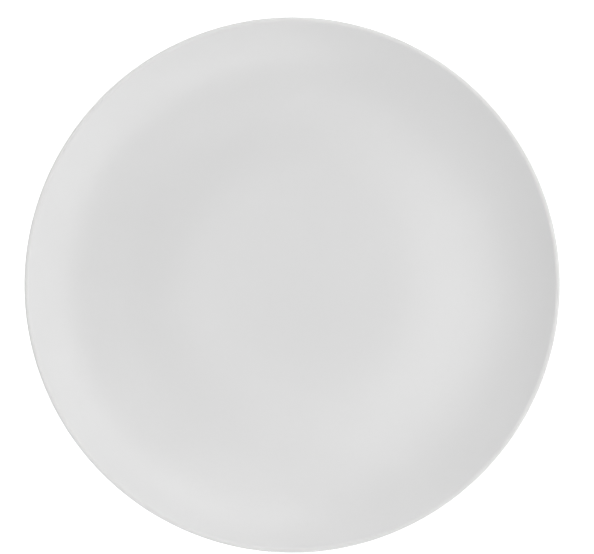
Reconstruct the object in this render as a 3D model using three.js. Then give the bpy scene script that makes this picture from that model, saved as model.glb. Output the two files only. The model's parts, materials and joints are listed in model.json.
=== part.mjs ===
// A rimless (coupe) soup plate in white porcelain: a flat floor, a wall that sweeps up in one arc to a
// thin rounded lip, and a foot ring underneath. The porcelain is one fired piece. Glaze covers all of it
// but the foot ring's seat, so the bare seat parts the glaze into a coat outside the ring and a patch
// inside it.
// Millimetres, +Z up. The origin is the middle of the foot ring's seat, on the table.
import * as THREE from "three";

// The finished plate, measured over the glaze.
const RIM_DIAMETER = 230;
const PLATE_HEIGHT = 46;

// Porcelain: floor, wall and lip.
const FLOOR_DIAMETER = 92; // the flat floor of the well
const BASE_THICKNESS = 4.8; // under the floor
const LIP_THICKNESS = 1.8; // across the lip, which is a full round

// Porcelain: foot ring.
const FOOT_DIAMETER = 118; // over the outside of the ring
const FOOT_WIDTH = 5.2;
const FOOT_HEIGHT = 3.6; // table to the underside of the base
const FOOT_ROOT = 1.5; // fillet where the ring leaves the underside
const SEAT_ROUNDING = 0.8; // on both edges of the seat

// Glaze.
const GLAZE_THICKNESS = 0.25;
const GLAZE_LINE = 1.4; // height on the foot ring at which the glaze stops
const GLAZE_FIT = 0.005; // clearance between glaze and porcelain, so that the two share no facet

// Facets.
const TURN_STEPS = 64; // round the plate's axis
const WALL_STEPS = 9;
const LIP_STEPS = 8;
const UNDERSIDE_STEPS = 7;
const BASE_STEPS = 4;
const ROOT_STEPS = 4;
const ROUNDING_STEPS = 3;
const SAME_POINT = 1e-6; // points of the section nearer than this are one

const PORCELAIN = { color: 0xe2dfd9, roughness: 0.85, metalness: 0 };
const GLAZE = { color: 0xe6e6e6, roughness: 0.3, metalness: 0 };

// The section is drawn in the (radius, height) plane, with directions turning from +radius to +height.
const QUARTER_TURN = Math.PI / 2;
const INWARD = Math.PI;
const DOWN = 1.5 * Math.PI;

const floorRadius = FLOOR_DIAMETER / 2;
const floorTop = FOOT_HEIGHT + BASE_THICKNESS;
const footOutside = FOOT_DIAMETER / 2;
const footInside = footOutside - FOOT_WIDTH;
const lipRadius = LIP_THICKNESS / 2;
const lipCentre = new THREE.Vector2(
  RIM_DIAMETER / 2 - GLAZE_THICKNESS - lipRadius,
  PLATE_HEIGHT - GLAZE_THICKNESS - lipRadius,
);

// Each face of the wall is an arc that leaves the flat at floorRadius, level, and touches the lip's round.
// The well's arc passes above the round (side +1) and the outside's arc below it (side -1).
function wallArc(flatHeight, side) {
  const across = lipCentre.x - floorRadius;
  const rise = lipCentre.y - flatHeight;
  const radius = (across ** 2 + rise ** 2 - lipRadius ** 2) / (2 * (rise + side * lipRadius));
  const centre = new THREE.Vector2(floorRadius, flatHeight + radius);
  const towardsLip = lipCentre.clone().sub(centre).angle();
  return { centre, radius, towardsLip };
}

const wellArc = wallArc(floorTop, 1);
const outsideArc = wallArc(FOOT_HEIGHT, -1);

function arcPoints(centre, radius, from, to, steps) {
  const clockwise = to < from;
  return new THREE.EllipseCurve(centre.x, centre.y, radius, radius, from, to, clockwise).getPoints(steps);
}

// Direction from the outside arc's centre to the underside at a radius: straight down under the flat.
function undersideDirection(radius) {
  return DOWN + Math.asin(Math.max(radius - floorRadius, 0) / outsideArc.radius);
}

function undersidePoint(radius) {
  const height = outsideArc.centre.y + outsideArc.radius * Math.sin(undersideDirection(radius));
  return new THREE.Vector2(radius, height);
}

// The fillet from the underside down to one side of the foot ring. Away is +1 on the ring's outside and
// -1 on its inside.
function footRoot(sideRadius, away) {
  const corner = undersidePoint(sideRadius);
  const onUnderside = undersidePoint(sideRadius + away * FOOT_ROOT);
  const onRing = new THREE.Vector2(sideRadius, corner.y - FOOT_ROOT);
  return new THREE.QuadraticBezierCurve(onUnderside, corner, onRing).getPoints(ROOT_STEPS);
}

// The rounding of one edge of the seat, from one direction through a quarter turn.
function seatEdge(centreRadius, from) {
  const centre = new THREE.Vector2(centreRadius, SEAT_ROUNDING);
  return arcPoints(centre, SEAT_ROUNDING, from, from + QUARTER_TURN, ROUNDING_STEPS);
}

// Runs of points end to end, with each shared end kept once.
function joined(...runs) {
  const points = runs.flat();
  return points.filter((point, i) => i === 0 || point.distanceTo(points[i - 1]) > SAME_POINT);
}

// The section runs from the axis under the base, round the foot ring and the lip, back to the axis in
// the well, with the porcelain on its left. The two glaze lines part it into three stretches.
const innerGlazeLine = new THREE.Vector2(footInside, GLAZE_LINE);
const outerGlazeLine = new THREE.Vector2(footOutside, GLAZE_LINE);

function baseStretch() {
  const flatStep = (footInside - FOOT_ROOT) / BASE_STEPS;
  const radii = Array.from({ length: BASE_STEPS + 1 }, (_, i) => i * flatStep);
  return joined(radii.map(undersidePoint), footRoot(footInside, -1), [innerGlazeLine]);
}

function bareStretch() {
  return joined(
    [innerGlazeLine],
    seatEdge(footInside + SEAT_ROUNDING, INWARD),
    seatEdge(footOutside - SEAT_ROUNDING, DOWN),
    [outerGlazeLine],
  );
}

function faceStretch() {
  const { centre, radius, towardsLip } = outsideArc;
  const leavesFoot = undersideDirection(footOutside + FOOT_ROOT);
  return joined(
    [outerGlazeLine],
    footRoot(footOutside, 1).reverse(),
    arcPoints(centre, radius, leavesFoot, towardsLip, UNDERSIDE_STEPS),
    arcPoints(lipCentre, lipRadius, towardsLip, wellArc.towardsLip + Math.PI, LIP_STEPS),
    arcPoints(wellArc.centre, wellArc.radius, wellArc.towardsLip, DOWN, WALL_STEPS),
    [new THREE.Vector2(0, floorTop)],
  );
}

// A stretch moved outwards by a distance, square to the surface at each point.
function movedOut(stretch, distance) {
  return stretch.map((point, i) => {
    const before = stretch[Math.max(i - 1, 0)];
    const after = stretch[Math.min(i + 1, stretch.length - 1)];
    const arriving = point.clone().sub(before).normalize();
    const leaving = after.clone().sub(point).normalize();
    const along = arriving.add(leaving).normalize();
    return new THREE.Vector2(along.y, -along.x).multiplyScalar(distance).add(point);
  });
}

// The glaze over a stretch that has one end on the axis, as a section from the axis and back to it.
function glazeSection(stretch) {
  const surface = movedOut(stretch, GLAZE_THICKNESS);
  const underneath = movedOut(stretch, GLAZE_FIT).reverse();
  const startsOnAxis = stretch[0].x === 0;
  return startsOnAxis ? [...surface, ...underneath] : [...underneath, ...surface];
}

// A solid of revolution about +Z from a section that starts and ends on the axis.
function turned(name, section, finish) {
  const geometry = new THREE.LatheGeometry(section, TURN_STEPS).rotateX(QUARTER_TURN);
  const mesh = new THREE.Mesh(geometry, new THREE.MeshStandardMaterial(finish));
  mesh.name = name;
  return mesh;
}

const soupPlate = new THREE.Group();
soupPlate.add(
  turned("porcelain_body", joined(baseStretch(), bareStretch(), faceStretch()), PORCELAIN),
  turned("glaze_coat", glazeSection(faceStretch()), GLAZE),
  turned("base_glaze", glazeSection(baseStretch()), GLAZE),
);

export default soupPlate;
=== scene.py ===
"""A rimless white soup plate in satin glaze, on a white floor in soft light, seen from straight above."""
import json
import math

import bmesh
import bpy
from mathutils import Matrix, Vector


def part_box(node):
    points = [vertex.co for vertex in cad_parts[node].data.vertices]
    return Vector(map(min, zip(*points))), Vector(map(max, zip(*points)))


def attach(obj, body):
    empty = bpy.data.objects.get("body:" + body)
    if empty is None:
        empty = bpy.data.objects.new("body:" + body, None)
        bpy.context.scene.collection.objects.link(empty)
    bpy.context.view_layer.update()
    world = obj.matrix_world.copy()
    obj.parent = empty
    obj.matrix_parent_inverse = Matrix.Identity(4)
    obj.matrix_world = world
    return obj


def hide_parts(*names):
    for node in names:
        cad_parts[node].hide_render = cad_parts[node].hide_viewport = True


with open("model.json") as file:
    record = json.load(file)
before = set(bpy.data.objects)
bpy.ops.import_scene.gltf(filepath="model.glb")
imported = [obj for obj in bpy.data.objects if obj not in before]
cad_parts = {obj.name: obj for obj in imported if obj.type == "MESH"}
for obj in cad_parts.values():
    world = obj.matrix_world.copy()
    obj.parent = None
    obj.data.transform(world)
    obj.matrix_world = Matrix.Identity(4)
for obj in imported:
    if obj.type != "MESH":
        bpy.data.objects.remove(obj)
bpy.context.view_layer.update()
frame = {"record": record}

# Sizes that the frame gives, in metres.
COAT_LOW, COAT_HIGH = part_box("glaze_coat")
BODY_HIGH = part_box("porcelain_body")[1]
PATCH_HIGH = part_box("base_glaze")[1]
MOUNTS = {mount["name"]: Vector(mount["pos_m"]) for mount in frame["record"]["mounts"]}
RIM_RADIUS = COAT_HIGH.x
PLATE_HEIGHT = COAT_HIGH.z
GLAZE_THICKNESS = COAT_HIGH.z - BODY_HIGH.z
GLAZE_LINE = COAT_LOW.z
FLOOR_TOP = MOUNTS["well_floor"].z - GLAZE_THICKNESS
SEAT = MOUNTS["foot_seat"].z
FOOT_INSIDE = PATCH_HIGH.x

# Sizes of the section that the frame doesn't give, in metres.
FLOOR_RADIUS = 0.046
BASE_THICKNESS = 0.0048
LIP_RADIUS = 0.0009
FOOT_WIDTH = 0.0052
FOOT_ROOT = 0.0015
SEAT_ROUNDING = 0.0008
GLAZE_FIT = 0.000005
GLAZE_BEAD = 0.00018

# Facets round the axis and along each stretch of the section.
TURN_STEPS = 256
WALL_STEPS = 40
LIP_STEPS = 20
UNDERSIDE_STEPS = 32
FLAT_STEPS = 6
ROOT_STEPS = 8
ROUNDING_STEPS = 6
BEAD_STEPS = 3

# Points nearer to each other than this, in metres, are one.
SAME_POINT = 0.000001

# The photograph's frame and the plate's place in it, in pixels.
FRAME_WIDTH = 594
FRAME_HEIGHT = 554
PLATE_CENTRE = Vector((292.1, 285.0))
PLATE_RADIUS = 267.8

# The camera's distance above the lip in metres, and its sensor in millimetres.
CAMERA_DISTANCE = 1.4
SENSOR_WIDTH = 36.0

# The floor's side and its gap under the seat in metres, its colour, and the lift that shows it white.
FLOOR_SIZE = 12.0
FLOOR_GAP = 0.0002
FLOOR_COLOUR = (0.8, 0.8, 0.8, 1)
FLOOR_LIFT = 0.6

# Light from the surround, and how few lamps a bank may have.
WHITE = (1, 1, 1, 1)
AMBIENT = 0.05
FEWEST_LAMPS = 3

# The glaze: its tones, how far the thin and pooled ones show, and its roughness.
GLAZE_WHITE = (0.745, 0.745, 0.745, 1)
GLAZE_CLOUD = (0.735, 0.735, 0.735, 1)
GLAZE_THIN = (0.725, 0.722, 0.715, 1)
GLAZE_POOLED = (0.69, 0.7, 0.71, 1)
THIN_SHARE = 0.6
POOLED_SHARE = 0.7
SATIN_LOW = 0.34
SATIN_HIGH = 0.4

# Marks in the glaze, in metres: how far across or apart they are, and how deep.
CLOUD_SIZE = 0.045
SATIN_PATCH = 0.02
WAVE_SIZE = 0.06
WAVE_DEPTH = 0.00025
WHEEL_SPACING = 0.0031
WHEEL_DEPTH = 0.0000012
PEEL_SIZE = 0.0022
PEEL_DEPTH = 0.000018

# The bare porcelain: its tones, how far the worn one shows, and its roughness.
PORCELAIN_WARM = (0.72, 0.7, 0.66, 1)
PORCELAIN_SPECK = (0.65, 0.63, 0.59, 1)
PORCELAIN_WORN = (0.5, 0.49, 0.47, 1)
WORN_LEAST = 0.1
WORN_MOST = 0.6
MATTE_LOW = 0.74
MATTE_HIGH = 0.88

# Marks in the porcelain, in metres. The worn track is full to TRACK_MIDDLE either side of its middle.
SPECK_SIZE = 0.0011
WEAR_PATCH = 0.009
MATTE_PATCH = 0.004
TRACK_MIDDLE = 0.0004
GRINDING_SPACING = 0.0004
GRINDING_DEPTH = 0.000008
SAND_SIZE = 0.0005
SAND_DEPTH = 0.00003

# Where a noise of 0 to 1 starts to show as a mark, and where the mark is full.
NOISE_STARTS = 0.3
NOISE_FULL = 0.7
SPECK_STARTS = 0.35
SPECK_FULL = 0.75
WEAR_FULL = 0.65

# Turns, and directions in the section, which turn from +radius to +height.
QUARTER_TURN = math.pi / 2
HALF_TURN = math.pi
FULL_TURN = 2 * math.pi
OUTWARD = 0.0
INWARD = HALF_TURN
DOWN = -QUARTER_TURN


def direction(start, end):
    step = end - start
    return math.atan2(step.y, step.x)


class WallArc:
    """One face of the wall: it leaves its flat at the floor's edge, level, and touches the lip's round.
    The side is 1 for the face in the well and -1 for the one outside."""

    def __init__(self, flat_height, side):
        across = LIP_CENTRE.x - FLOOR_RADIUS
        rise = LIP_CENTRE.y - flat_height
        self.radius = (across**2 + rise**2 - LIP_RADIUS**2) / (2 * (rise + side * LIP_RADIUS))
        self.centre = Vector((FLOOR_RADIUS, flat_height + self.radius))
        self.towards_lip = direction(self.centre, LIP_CENTRE)


class Section:
    """A wire in the plane of radius and height, drawn from point to point, then turned about the axis."""

    def __init__(self, radius, height):
        self.mesh = bmesh.new()
        self.tip = self.mesh.verts.new((radius, 0, height))

    def line(self, radius, height, steps=1):
        start = self.tip.co.copy()
        end = Vector((radius, 0, height))
        for step in range(1, steps + 1):
            grown = bmesh.ops.extrude_vert_indiv(self.mesh, verts=[self.tip])
            self.tip = grown["verts"][0]
            self.tip.co = start.lerp(end, step / steps)

    def arc(self, centre, turn, steps):
        about = Vector((centre.x, 0, centre.y))
        spun = bmesh.ops.spin(
            self.mesh, geom=[self.tip], cent=about, axis=(0, -1, 0), angle=turn, steps=steps
        )
        self.tip = next(part for part in spun["geom_last"] if isinstance(part, bmesh.types.BMVert))

    def turned(self):
        wire = self.mesh.verts[:] + self.mesh.edges[:]
        bmesh.ops.spin(
            self.mesh, geom=wire, cent=(0, 0, 0), axis=(0, 0, 1), angle=FULL_TURN,
            steps=TURN_STEPS, use_merge=True,
        )
        bmesh.ops.remove_doubles(self.mesh, verts=self.mesh.verts, dist=SAME_POINT)
        bmesh.ops.recalc_face_normals(self.mesh, faces=self.mesh.faces)
        return self.mesh


LIP_CENTRE = Vector((RIM_RADIUS, PLATE_HEIGHT)) - Vector((1, 1)) * (GLAZE_THICKNESS + LIP_RADIUS)
UNDERSIDE = FLOOR_TOP - BASE_THICKNESS
WELL = WallArc(FLOOR_TOP, 1)
OUTSIDE = WallArc(UNDERSIDE, -1)
FOOT_OUTSIDE = FOOT_INSIDE + FOOT_WIDTH


def root_centre(radius):
    """Centre of the fillet between the foot ring and the underside, at a radius."""
    reach = OUTSIDE.radius + FOOT_ROOT
    out = radius - FLOOR_RADIUS
    return Vector((radius, OUTSIDE.centre.y - math.sqrt(reach**2 - out**2)))


OUTER_ROOT = root_centre(FOOT_OUTSIDE + FOOT_ROOT)
INNER_ROOT = root_centre(FOOT_INSIDE - FOOT_ROOT)


def draw_face(section, skin):
    """From the outer glaze line up the foot ring, out under the wall, over the lip and into the well,
    a skin's thickness off the porcelain."""
    section.line(FOOT_OUTSIDE + skin, OUTER_ROOT.y)
    section.arc(OUTER_ROOT, direction(OUTER_ROOT, OUTSIDE.centre) - INWARD, ROOT_STEPS)
    leaves_root = direction(OUTSIDE.centre, OUTER_ROOT)
    section.arc(OUTSIDE.centre, OUTSIDE.towards_lip - leaves_root, UNDERSIDE_STEPS)
    section.arc(LIP_CENTRE, WELL.towards_lip + HALF_TURN - OUTSIDE.towards_lip, LIP_STEPS)
    section.arc(WELL.centre, DOWN - WELL.towards_lip, WALL_STEPS)
    section.line(0, FLOOR_TOP + skin, FLAT_STEPS)


def draw_base(section, skin):
    """From the axis out under the base and down the inside of the foot ring to the inner glaze line,
    a skin's thickness off the porcelain."""
    section.line(FLOOR_RADIUS, UNDERSIDE - skin, FLAT_STEPS)
    section.arc(OUTSIDE.centre, direction(OUTSIDE.centre, INNER_ROOT) - DOWN, ROOT_STEPS)
    section.arc(INNER_ROOT, OUTWARD - direction(INNER_ROOT, OUTSIDE.centre), ROOT_STEPS)
    section.line(FOOT_INSIDE - skin, GLAZE_LINE)


def draw_seat(section):
    """Round the bare foot ring, from the inner glaze line to the outer one."""
    rounding_height = SEAT + SEAT_ROUNDING
    inner_rounding = Vector((FOOT_INSIDE + SEAT_ROUNDING, rounding_height))
    outer_rounding = Vector((FOOT_OUTSIDE - SEAT_ROUNDING, rounding_height))
    section.line(FOOT_INSIDE, rounding_height)
    section.arc(inner_rounding, QUARTER_TURN, ROUNDING_STEPS)
    section.line(outer_rounding.x, SEAT)
    section.arc(outer_rounding, QUARTER_TURN, ROUNDING_STEPS)
    section.line(FOOT_OUTSIDE, GLAZE_LINE)


def porcelain_shape():
    section = Section(0, UNDERSIDE)
    draw_base(section, 0)
    draw_seat(section)
    draw_face(section, 0)
    return section.turned()


def glaze_film(section):
    """Gives a turned skin the glaze's thickness, and rounds its edge where it stops on the foot ring."""
    film = section.turned()
    edge = [rim for rim in film.edges if rim.is_boundary]
    bmesh.ops.solidify(film, geom=film.faces[:], thickness=GLAZE_THICKNESS - GLAZE_FIT)
    bmesh.ops.bevel(
        film, geom=edge, offset=GLAZE_BEAD, offset_type="OFFSET", affect="EDGES",
        segments=BEAD_STEPS, profile=0.5, material=-1,
    )
    bmesh.ops.recalc_face_normals(film, faces=film.faces)
    return film


def coat_shape():
    section = Section(FOOT_OUTSIDE + GLAZE_THICKNESS, GLAZE_LINE)
    draw_face(section, GLAZE_THICKNESS)
    return glaze_film(section)


def patch_shape():
    section = Section(0, UNDERSIDE - GLAZE_THICKNESS)
    draw_base(section, GLAZE_THICKNESS)
    return glaze_film(section)


class Finish:
    """The nodes of one finish. They read the piece's own coordinates, in metres."""

    def __init__(self, name):
        self.material = bpy.data.materials.new(name)
        self.material.use_nodes = True
        self.tree = self.material.node_tree
        self.shader = self.tree.nodes["Principled BSDF"]
        self.place = self.add("ShaderNodeTexCoord").outputs["Object"]

    def add(self, kind, **settings):
        node = self.tree.nodes.new(kind)
        for setting, value in settings.items():
            setattr(node, setting, value)
        return node

    def feed(self, socket, value):
        if isinstance(value, bpy.types.NodeSocket):
            self.tree.links.new(value, socket)
        else:
            socket.default_value = value

    def grain(self, size, detail):
        """Noise from 0 to 1 whose blotches are about a size across."""
        node = self.add("ShaderNodeTexNoise")
        self.feed(node.inputs["Vector"], self.place)
        self.feed(node.inputs["Scale"], 1 / size)
        self.feed(node.inputs["Detail"], detail)
        return node.outputs["Fac"]

    def calculate(self, operation, first, second=0.0):
        node = self.add("ShaderNodeMath", operation=operation)
        self.feed(node.inputs[0], first)
        self.feed(node.inputs[1], second)
        return node.outputs[0]

    def ramp(self, value, start, end, low=0.0, high=1.0):
        """A soft step from low to high as a value goes from start to end."""
        node = self.add("ShaderNodeMapRange", interpolation_type="SMOOTHSTEP")
        self.feed(node.inputs["Value"], value)
        self.feed(node.inputs["From Min"], start)
        self.feed(node.inputs["From Max"], end)
        self.feed(node.inputs["To Min"], low)
        self.feed(node.inputs["To Max"], high)
        return node.outputs["Result"]

    def blend(self, share, first, second):
        node = self.add("ShaderNodeMix", data_type="RGBA")
        ends = [socket for socket in node.inputs if socket.type == "RGBA"]
        self.feed(node.inputs["Factor"], share)
        self.feed(ends[0], first)
        self.feed(ends[1], second)
        return next(socket for socket in node.outputs if socket.type == "RGBA")

    def height(self):
        node = self.add("ShaderNodeSeparateXYZ")
        self.feed(node.inputs[0], self.place)
        return node.outputs["Z"]

    def radius(self):
        """Distance from the plate's axis."""
        flat = self.add("ShaderNodeVectorMath", operation="MULTIPLY")
        self.feed(flat.inputs[0], self.place)
        self.feed(flat.inputs[1], (1, 1, 0))
        length = self.add("ShaderNodeVectorMath", operation="LENGTH")
        self.feed(length.inputs[0], flat.outputs["Vector"])
        return length.outputs["Value"]

    def from_foot(self):
        """Distance in or out from the middle of the foot ring's width."""
        off_middle = self.calculate("SUBTRACT", self.radius(), FOOT_OUTSIDE - FOOT_WIDTH / 2)
        return self.calculate("ABSOLUTE", off_middle)

    def rings(self, spacing):
        """Ridges round the axis, from -1 to 1, a spacing apart."""
        return self.calculate("SINE", self.calculate("MULTIPLY", self.radius(), FULL_TURN / spacing))

    def bump(self, relief, depth, under=None):
        node = self.add("ShaderNodeBump")
        self.feed(node.inputs["Height"], relief)
        self.feed(node.inputs["Distance"], depth)
        if under:
            self.feed(node.inputs["Normal"], under)
        return node.outputs["Normal"]

    def finished(self, colour, roughness, normal):
        self.feed(self.shader.inputs["Base Color"], colour)
        self.feed(self.shader.inputs["Roughness"], roughness)
        self.feed(self.shader.inputs["Normal"], normal)
        return self.material


def white_glaze():
    """Satin white glaze: a faint cloud of tone, thinner on the lip and pooled in the foot ring's corner,
    over a slow wave, the faint rings of the forming wheel and a fine orange peel."""
    glaze = Finish("white_glaze")
    cloud = glaze.ramp(glaze.grain(CLOUD_SIZE, detail=2), NOISE_STARTS, NOISE_FULL)
    tone = glaze.blend(cloud, GLAZE_WHITE, GLAZE_CLOUD)
    on_lip = glaze.ramp(glaze.height(), PLATE_HEIGHT - LIP_RADIUS, PLATE_HEIGHT, 0, THIN_SHARE)
    tone = glaze.blend(on_lip, tone, GLAZE_THIN)
    by_foot = glaze.ramp(glaze.from_foot(), FOOT_WIDTH, FOOT_WIDTH / 2)
    below = glaze.ramp(glaze.height(), OUTER_ROOT.y + FOOT_ROOT, OUTER_ROOT.y, 0, POOLED_SHARE)
    in_corner = glaze.calculate("MULTIPLY", by_foot, below)
    tone = glaze.blend(in_corner, tone, GLAZE_POOLED)
    patches = glaze.grain(SATIN_PATCH, detail=3)
    satin = glaze.ramp(patches, NOISE_STARTS, NOISE_FULL, SATIN_LOW, SATIN_HIGH)
    normal = glaze.bump(glaze.grain(WAVE_SIZE, detail=1), WAVE_DEPTH)
    normal = glaze.bump(glaze.rings(WHEEL_SPACING), WHEEL_DEPTH, normal)
    normal = glaze.bump(glaze.grain(PEEL_SIZE, detail=2), PEEL_DEPTH, normal)
    return glaze.finished(tone, satin, normal)


def bare_porcelain():
    """Unglazed porcelain, ground flat on the seat: matte and warm, with specks, a sandy grain, the circles
    of the grinding wheel and a greyer track where the plate stands."""
    porcelain = Finish("bare_porcelain")
    specks = porcelain.ramp(porcelain.grain(SPECK_SIZE, detail=3), SPECK_STARTS, SPECK_FULL)
    tone = porcelain.blend(specks, PORCELAIN_WARM, PORCELAIN_SPECK)
    track = porcelain.ramp(porcelain.from_foot(), FOOT_WIDTH / 2 - SEAT_ROUNDING, TRACK_MIDDLE)
    wear = porcelain.grain(WEAR_PATCH, detail=3)
    worn = porcelain.ramp(wear, NOISE_STARTS, WEAR_FULL, WORN_LEAST, WORN_MOST)
    down = porcelain.ramp(porcelain.height(), SEAT + SEAT_ROUNDING / 2, SEAT)
    worn_track = porcelain.calculate("MULTIPLY", track, worn)
    worn_seat = porcelain.calculate("MULTIPLY", worn_track, down)
    tone = porcelain.blend(worn_seat, tone, PORCELAIN_WORN)
    patches = porcelain.grain(MATTE_PATCH, detail=2)
    matte = porcelain.ramp(patches, NOISE_STARTS, NOISE_FULL, MATTE_LOW, MATTE_HIGH)
    normal = porcelain.bump(porcelain.rings(GRINDING_SPACING), GRINDING_DEPTH)
    normal = porcelain.bump(porcelain.grain(SAND_SIZE, detail=3), SAND_DEPTH, normal)
    return porcelain.finished(tone, matte, normal)


def add_piece(name, shape, material, node):
    mesh = bpy.data.meshes.new(name)
    shape.to_mesh(mesh)
    shape.free()
    mesh.shade_smooth()
    mesh.materials.append(material)
    piece = bpy.data.objects.new(name, mesh)
    bpy.context.scene.collection.objects.link(piece)
    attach(piece, "root")
    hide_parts(node)


def add_floor():
    shape = bmesh.new()
    bmesh.ops.create_grid(shape, x_segments=1, y_segments=1, size=FLOOR_SIZE / 2)
    bmesh.ops.translate(shape, vec=(0, 0, SEAT - FLOOR_GAP), verts=shape.verts)
    mesh = bpy.data.meshes.new("floor")
    shape.to_mesh(mesh)
    shape.free()
    floor = bpy.data.objects.new("floor", mesh)
    bpy.context.scene.collection.objects.link(floor)
    mesh.materials.append(floor_white())


def seen_directly(tree):
    """1 for what is seen, straight or in a reflection or through glass, and 0 for light on the object."""
    path = tree.nodes.new("ShaderNodeLightPath")
    seen = path.outputs["Is Camera Ray"]
    for ray in ("Is Glossy Ray", "Is Transmission Ray"):
        either = tree.nodes.new("ShaderNodeMath")
        either.operation = "MAXIMUM"
        tree.links.new(seen, either.inputs[0])
        tree.links.new(path.outputs[ray], either.inputs[1])
        seen = either.outputs[0]
    return seen


def floor_white():
    """White paper that the light on it doesn't quite bring to white: a lift does the rest."""
    material = bpy.data.materials.new("floor_white")
    material.use_nodes = True
    tree = material.node_tree
    shader = tree.nodes["Principled BSDF"]
    shader.inputs["Base Color"].default_value = FLOOR_COLOUR
    shader.inputs["Roughness"].default_value = 1.0
    shader.inputs["Specular IOR Level"].default_value = 0.0
    shader.inputs["Emission Color"].default_value = WHITE
    lift = tree.nodes.new("ShaderNodeMath")
    lift.operation = "MULTIPLY"
    lift.inputs[1].default_value = FLOOR_LIFT
    tree.links.new(seen_directly(tree), lift.inputs[0])
    tree.links.new(lift.outputs[0], shader.inputs["Emission Strength"])
    return material


def add_bank(name, middle, half_span, zenith, spread, power):
    """A curved bank of soft lamps side by side, far off, that share its power. In degrees: the azimuth of
    its middle from +X, its reach to either side, its angle from the zenith and the spread of each lamp."""
    length = 2 * half_span * math.sin(math.radians(zenith))
    lamps = max(FEWEST_LAMPS, round(length / spread) + 1)
    for place in range(lamps):
        azimuth = middle + half_span * (2 * place / (lamps - 1) - 1)
        lamp = bpy.data.lights.new(name, "SUN")
        lamp.angle = math.radians(spread)
        lamp.energy = power / lamps
        light = bpy.data.objects.new(name, lamp)
        light.rotation_euler = (0, math.radians(zenith), math.radians(azimuth))
        bpy.context.scene.collection.objects.link(light)


def add_surround():
    """White where it is seen, and a weak even light otherwise. It isn't sampled as a lamp, so that
    reflections show it in full."""
    world = bpy.data.worlds.new("surround")
    world.use_nodes = True
    tree = world.node_tree
    sky = tree.nodes["Background"]
    sky.inputs["Color"].default_value = WHITE
    strength = tree.nodes.new("ShaderNodeMapRange")
    strength.inputs["To Min"].default_value = AMBIENT
    strength.inputs["To Max"].default_value = 1.0
    tree.links.new(seen_directly(tree), strength.inputs["Value"])
    tree.links.new(strength.outputs["Result"], sky.inputs["Strength"])
    world.cycles.sampling_method = "NONE"
    bpy.context.scene.world = world


def add_camera():
    """Straight above the plate, and beside its axis by as much as the photograph is off centre."""
    metres_per_pixel = RIM_RADIUS / PLATE_RADIUS
    lens = bpy.data.cameras.new("camera")
    lens.sensor_width = SENSOR_WIDTH
    lens.lens = SENSOR_WIDTH * CAMERA_DISTANCE / (FRAME_WIDTH * metres_per_pixel)
    camera = bpy.data.objects.new("camera", lens)
    camera.location = (
        (FRAME_WIDTH / 2 - PLATE_CENTRE.x) * metres_per_pixel,
        (PLATE_CENTRE.y - FRAME_HEIGHT / 2) * metres_per_pixel,
        LIP_CENTRE.y + CAMERA_DISTANCE,
    )
    bpy.context.scene.collection.objects.link(camera)
    bpy.context.scene.camera = camera


glaze = white_glaze()
add_piece("porcelain", porcelain_shape(), bare_porcelain(), "porcelain_body")
add_piece("glaze_over_plate", coat_shape(), glaze, "glaze_coat")
add_piece("glaze_in_foot", patch_shape(), glaze, "base_glaze")
add_floor()
add_surround()
add_bank("high_left", middle=169, half_span=43, zenith=32, spread=40, power=1.165)
add_bank("side_left", middle=136, half_span=67, zenith=56, spread=24, power=1.075)
add_bank("high_right", middle=-40, half_span=78, zenith=48, spread=24, power=1.33)
add_bank("low_right", middle=-1, half_span=89, zenith=82, spread=14, power=2.4)
add_camera()
bpy.context.scene.view_settings.view_transform = "Standard"
